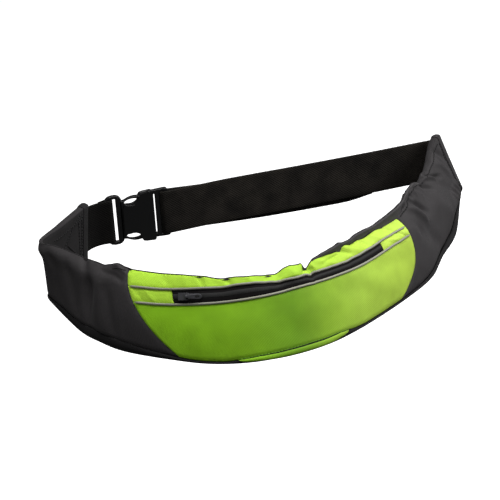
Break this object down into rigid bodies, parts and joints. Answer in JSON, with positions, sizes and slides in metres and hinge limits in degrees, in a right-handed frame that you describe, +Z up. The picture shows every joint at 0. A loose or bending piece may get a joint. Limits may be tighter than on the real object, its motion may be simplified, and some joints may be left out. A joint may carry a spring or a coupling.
{
  "type": "waist belt pack",
  "caption": "Slim sports waist pack in its worn loop: lime green zipped front with silver pipings, charcoal wings, black webbing and a side-release buckle.",
  "frame": {"origin": "middle of the waist loop, at the height of the middle of the webbing", "axes": "+X to the wearer's left, +Y to the buckle at the back of the loop, +Z up"},
  "size_m": [0.3749, 0.2073, 0.0681],
  "materials": {
    "green_ripstop": "lime green woven polyester, fine rip weave, slight sheen",
    "charcoal_nylon": "charcoal woven nylon, matt",
    "gusset_nylon": "near black woven nylon and edge tape, matt",
    "black_webbing": "black polyamide webbing, fine ribs",
    "reflective_piping": "silver grey reflective piping",
    "zip_tape": "black woven zip tape",
    "zip_coil": "black nylon coil",
    "zip_metal": "dark painted zinc alloy",
    "moulded_acetal": "black moulded acetal, fine grain"
  },
  "bodies": {
    "pack": {"wing_left": "charcoal_nylon", "wing_right": "charcoal_nylon", "back_panel": "charcoal_nylon", "top_strip": "green_ripstop", "front_panel": "green_ripstop", "zip_end_left": "green_ripstop", "zip_end_right": "green_ripstop", "bottom_lip": "green_ripstop", "zip_tape": "zip_tape", "zip_coil": "zip_coil", "bottom_gusset": "gusset_nylon", "top_binding": "gusset_nylon", "end_binding_left": "gusset_nylon", "end_binding_right": "gusset_nylon", "piping_upper": "reflective_piping", "piping_lower": "reflective_piping", "zip_slider": "zip_metal", "webbing_short": "black_webbing", "webbing_long": "black_webbing", "buckle_male": "moulded_acetal", "buckle_female": "moulded_acetal"},
    "pull": {"zip_pull": "zip_metal"}
  },
  "joints": [
    {"name": "pull_flip", "type": "hinge", "parent": "pack", "child": "pull", "pos_m": [-0.0872, -0.08342, 0.01042], "axis": [-0.2095, -0.5129, -0.8325], "range_deg": [0, 190]}
  ]
}
